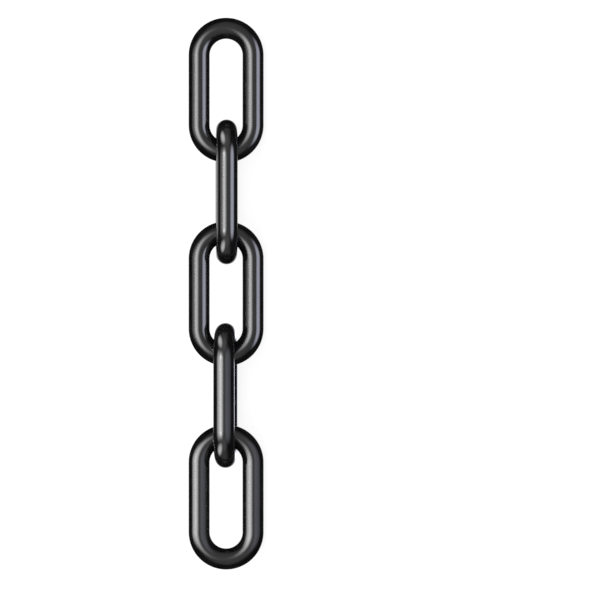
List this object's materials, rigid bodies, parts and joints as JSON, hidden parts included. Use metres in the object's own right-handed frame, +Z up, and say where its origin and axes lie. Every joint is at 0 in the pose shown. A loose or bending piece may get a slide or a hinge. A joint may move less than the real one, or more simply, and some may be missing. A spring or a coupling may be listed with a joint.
{
  "type": "iron link chain",
  "caption": "Straight length of round-bar iron link chain, its welded links interlocked at right angles, with an open eye at each end for a hook or shackle.",
  "frame": {"origin": "centre of the chain's box, on the floor that it lies on", "axes": "+X along the chain towards link_1, +Z up; odd links lean so that their width runs up towards +Y, even links the other way"},
  "size_m": [0.261, 0.0286, 0.0289],
  "materials": {
    "black_iron": "gloss"
  },
  "bodies": {
    "link_1": {"link_1": "black_iron"},
    "link_2": {"link_2": "black_iron"},
    "link_3": {"link_3": "black_iron"},
    "link_4": {"link_4": "black_iron"},
    "link_5": {"link_5": "black_iron"}
  },
  "joints": [
    {"name": "link_2_swing", "type": "hinge", "parent": "link_1", "child": "link_2", "pos_m": [0.0669, 0, 0.01402], "axis": [0, 0.7071, 0.7071], "range_deg": [-105, 105]},
    {"name": "link_3_swing", "type": "hinge", "parent": "link_2", "child": "link_3", "pos_m": [0.01883, 0, 0.01372], "axis": [0, 0.7314, -0.682], "range_deg": [-105, 105]},
    {"name": "link_4_swing", "type": "hinge", "parent": "link_3", "child": "link_4", "pos_m": [-0.02925, 0, 0.01402], "axis": [0, 0.7071, 0.7071], "range_deg": [-105, 105]},
    {"name": "link_5_swing", "type": "hinge", "parent": "link_4", "child": "link_5", "pos_m": [-0.07733, 0, 0.01443], "axis": [0, 0.6756, -0.7373], "range_deg": [-105, 105]}
  ]
}
